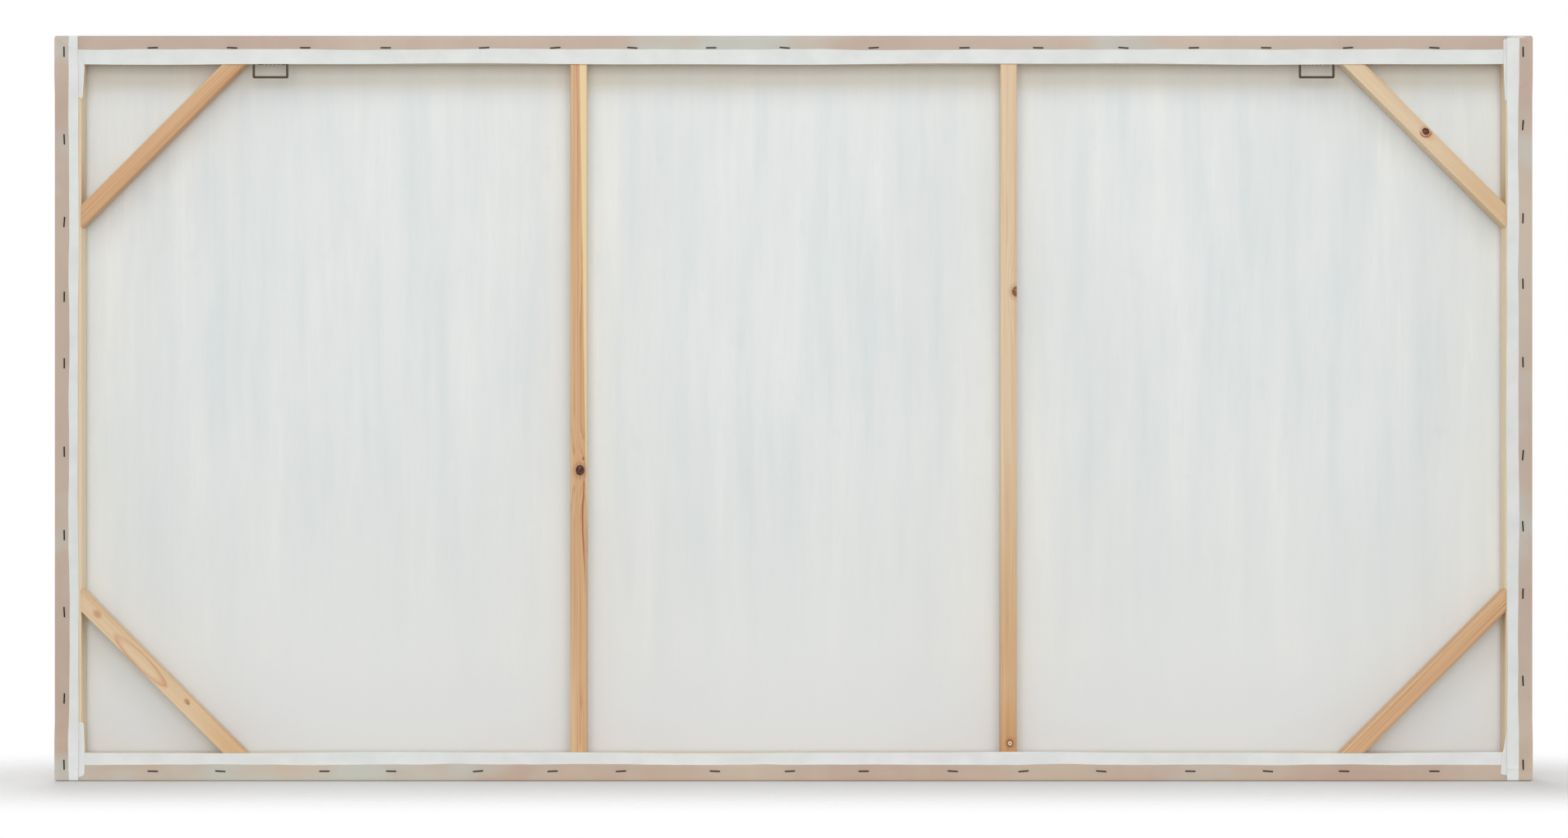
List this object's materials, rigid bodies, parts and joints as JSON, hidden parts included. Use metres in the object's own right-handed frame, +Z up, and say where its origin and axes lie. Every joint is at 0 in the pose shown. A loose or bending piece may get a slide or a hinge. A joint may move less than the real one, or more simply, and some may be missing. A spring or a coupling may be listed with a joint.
{
  "type": "stretched canvas",
  "caption": "Wide gallery-wrapped canvas stapled round a braced softwood stretcher frame, with sawtooth hangers on its top bar.",
  "frame": {"origin": "middle of the bottom edge, centred in width and in depth", "axes": "+X along the width (to the left when seen from behind), +Z up, +Y out of the back; the painted face looks towards -Y"},
  "size_m": [1.82, 0.0398, 0.918],
  "materials": {
    "canvas": "primed polycotton weave, soft print on the face and edges, bare white margin and back",
    "bar_pine": "planed, unfinished softwood",
    "brace_pine": "planed, unfinished softwood with knots",
    "bronzed_steel": "dark bronze plating, satin",
    "staple_wire": "dark flat steel wire",
    "nail_steel": "plain bright steel"
  },
  "bodies": {
    "root": {"canvas": "canvas", "top_bar": "bar_pine", "bottom_bar": "bar_pine", "left_bar": "bar_pine", "right_bar": "bar_pine", "left_cross_brace": "brace_pine", "right_cross_brace": "brace_pine", "top_left_corner_brace": "brace_pine", "top_right_corner_brace": "brace_pine", "bottom_left_corner_brace": "brace_pine", "bottom_right_corner_brace": "brace_pine", "left_hanger": "bronzed_steel", "right_hanger": "bronzed_steel", "left_hanger_nails": "bronzed_steel", "right_hanger_nails": "bronzed_steel", "left_cross_brace_nails": "nail_steel", "right_cross_brace_nails": "nail_steel", "top_left_brads": "nail_steel", "top_right_brads": "nail_steel", "bottom_left_brads": "nail_steel", "bottom_right_brads": "nail_steel", "top_left_v_nails": "nail_steel", "top_right_v_nails": "nail_steel", "bottom_left_v_nails": "nail_steel", "bottom_right_v_nails": "nail_steel", "top_staples": "staple_wire", "bottom_staples": "staple_wire", "left_staples": "staple_wire", "right_staples": "staple_wire"}
  },
  "joints": []
}
